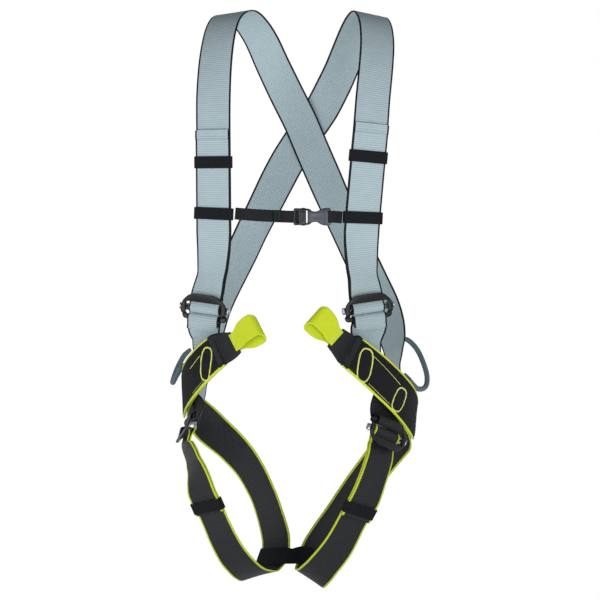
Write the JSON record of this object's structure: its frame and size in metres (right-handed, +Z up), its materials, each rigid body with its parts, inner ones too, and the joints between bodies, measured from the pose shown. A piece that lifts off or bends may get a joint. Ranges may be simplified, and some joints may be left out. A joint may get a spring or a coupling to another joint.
{
  "type": "full-body climbing harness",
  "caption": "Full-body climbing harness: crossed shoulder straps, chest strap, padded hips, leg loops, front tie-in loops and gear loops.",
  "frame": {"origin": "on the wearer's centre line, level with the lowest webbing of the leg loops", "axes": "+Z up the wearer's body, -Y the wearer's front, -X the wearer's right"},
  "size_m": [0.3292, 0.2538, 0.7337],
  "materials": {
    "webbing_grey": "woven polyester",
    "webbing_black": "woven polyester",
    "webbing_narrow": "woven polyester",
    "webbing_lime": "woven polyester",
    "elastic_black": "knitted elastic",
    "pad_textile": "laminated mesh",
    "tube_grey": "woven sleeve over a stiff core",
    "buckle_steel": "black coated steel",
    "plastic_black": "moulded acetal"
  },
  "bodies": {
    "harness": {"right_shoulder_strap": "webbing_grey", "left_shoulder_strap": "webbing_grey", "right_hip_riser": "webbing_grey", "left_hip_riser": "webbing_grey", "right_shoulder_buckle_frame": "buckle_steel", "left_shoulder_buckle_frame": "buckle_steel", "right_leg_strap": "webbing_black", "left_leg_strap": "webbing_black", "right_leg_anchor": "webbing_black", "left_leg_anchor": "webbing_black", "right_leg_buckle_frame": "buckle_steel", "left_leg_buckle_frame": "buckle_steel", "right_hip_pad": "pad_textile", "left_hip_pad": "pad_textile", "right_neck_webbing": "webbing_black", "left_neck_webbing": "webbing_black", "crotch_elastic": "elastic_black"},
    "chest_strap": {"chest_loop_right": "webbing_narrow", "chest_loop_left": "webbing_narrow", "chest_webbing_right": "webbing_narrow", "chest_webbing_left": "webbing_narrow", "chest_buckle_socket": "plastic_black"},
    "chest_plug": {"chest_buckle_plug": "plastic_black"},
    "prong_upper": {"chest_buckle_prong_upper": "plastic_black"},
    "prong_lower": {"chest_buckle_prong_lower": "plastic_black"},
    "shoulder_keeper_right": {"right_strap_keeper": "elastic_black"},
    "shoulder_keeper_left": {"left_strap_keeper": "elastic_black"},
    "leg_keeper_right": {"right_leg_keeper": "elastic_black"},
    "leg_keeper_left": {"left_leg_keeper": "elastic_black"},
    "shoulder_slider_right": {"right_shoulder_buckle_slider": "buckle_steel"},
    "shoulder_slider_left": {"left_shoulder_buckle_slider": "buckle_steel"},
    "leg_slider_right": {"right_leg_buckle_slider": "buckle_steel"},
    "leg_slider_left": {"left_leg_buckle_slider": "buckle_steel"},
    "tie_in_right": {"right_tie_in_loop": "webbing_lime"},
    "tie_in_left": {"left_tie_in_loop": "webbing_lime"},
    "gear_right": {"right_gear_loop": "tube_grey"},
    "gear_left": {"left_gear_loop": "tube_grey"}
  },
  "joints": [
    {"name": "chest_strap_height", "type": "slide", "parent": "harness", "child": "chest_strap", "axis": [0.04, -0.03, 0.9988], "range_m": [-0.01, 0.015]},
    {"name": "chest_buckle_release", "type": "slide", "parent": "chest_strap", "child": "chest_plug", "axis": [1, 0, 0], "range_m": [0, 0.011], "deforming": ["chest_webbing_left"]},
    {"name": "prong_upper_squeeze", "type": "hinge", "parent": "chest_plug", "child": "prong_upper", "pos_m": [0.0118, -0.107, 0.477], "axis": [0, -1, 0], "range_deg": [0, 6], "stiffness_Nm_per_rad": 0.04},
    {"name": "prong_lower_squeeze", "type": "hinge", "parent": "chest_plug", "child": "prong_lower", "pos_m": [0.0118, -0.107, 0.4666], "axis": [0, 1, 0], "range_deg": [0, 6], "stiffness_Nm_per_rad": 0.04},
    {"name": "right_strap_keeper_slide", "type": "slide", "parent": "harness", "child": "shoulder_keeper_right", "axis": [-0.008, -0.0357, 0.9993], "range_m": [-0.015, 0.015]},
    {"name": "left_strap_keeper_slide", "type": "slide", "parent": "harness", "child": "shoulder_keeper_left", "axis": [0.092, -0.0377, 0.995], "range_m": [-0.015, 0.011]},
    {"name": "right_leg_keeper_slide", "type": "slide", "parent": "harness", "child": "leg_keeper_right", "axis": [-0.3902, -0.1921, 0.9005], "range_m": [-0.007, 0.007]},
    {"name": "left_leg_keeper_slide", "type": "slide", "parent": "harness", "child": "leg_keeper_left", "axis": [0.4562, -0.1992, 0.8673], "range_m": [-0.007, 0.007]},
    {"name": "right_shoulder_slider_tilt", "type": "hinge", "parent": "harness", "child": "shoulder_slider_right", "pos_m": [-0.11766, -0.07623, 0.35749], "axis": [-0.8756, 0.469, 0.1157], "range_deg": [0, 30]},
    {"name": "left_shoulder_slider_tilt", "type": "hinge", "parent": "harness", "child": "shoulder_slider_left", "pos_m": [0.08403, -0.07629, 0.35849], "axis": [-0.9164, -0.3777, -0.1326], "range_deg": [0, 30]},
    {"name": "right_leg_slider_tilt", "type": "hinge", "parent": "harness", "child": "leg_slider_right", "pos_m": [-0.13883, -0.05619, 0.20539], "axis": [0.1972, -0.9583, 0.2067], "range_deg": [0, 30]},
    {"name": "left_leg_slider_tilt", "type": "hinge", "parent": "harness", "child": "leg_slider_left", "pos_m": [0.10645, -0.06782, 0.20036], "axis": [0.673, 0.6663, -0.3211], "range_deg": [0, 30]},
    {"name": "right_tie_in_flex", "type": "hinge", "parent": "harness", "child": "tie_in_right", "pos_m": [-0.07777, -0.12561, 0.31749], "axis": [0.4334, -0.2768, -0.8576], "range_deg": [-20, 20]},
    {"name": "left_tie_in_flex", "type": "hinge", "parent": "harness", "child": "tie_in_left", "pos_m": [0.0415, -0.12867, 0.324], "axis": [-0.6488, -0.2298, -0.7254], "range_deg": [-20, 20]},
    {"name": "right_gear_loop_swing", "type": "hinge", "parent": "harness", "child": "gear_right", "pos_m": [-0.141, -0.003, 0.29675], "axis": [0.0189, 0.9437, 0.3303], "range_deg": [0, 45]},
    {"name": "left_gear_loop_swing", "type": "hinge", "parent": "harness", "child": "gear_left", "pos_m": [0.13, -0.0145, 0.29725], "axis": [0.0577, -0.7646, -0.642], "range_deg": [0, 45]}
  ],
  "couplings": [
    {"joint": "prong_lower_squeeze", "follows": "prong_upper_squeeze", "ratio": 1}
  ]
}
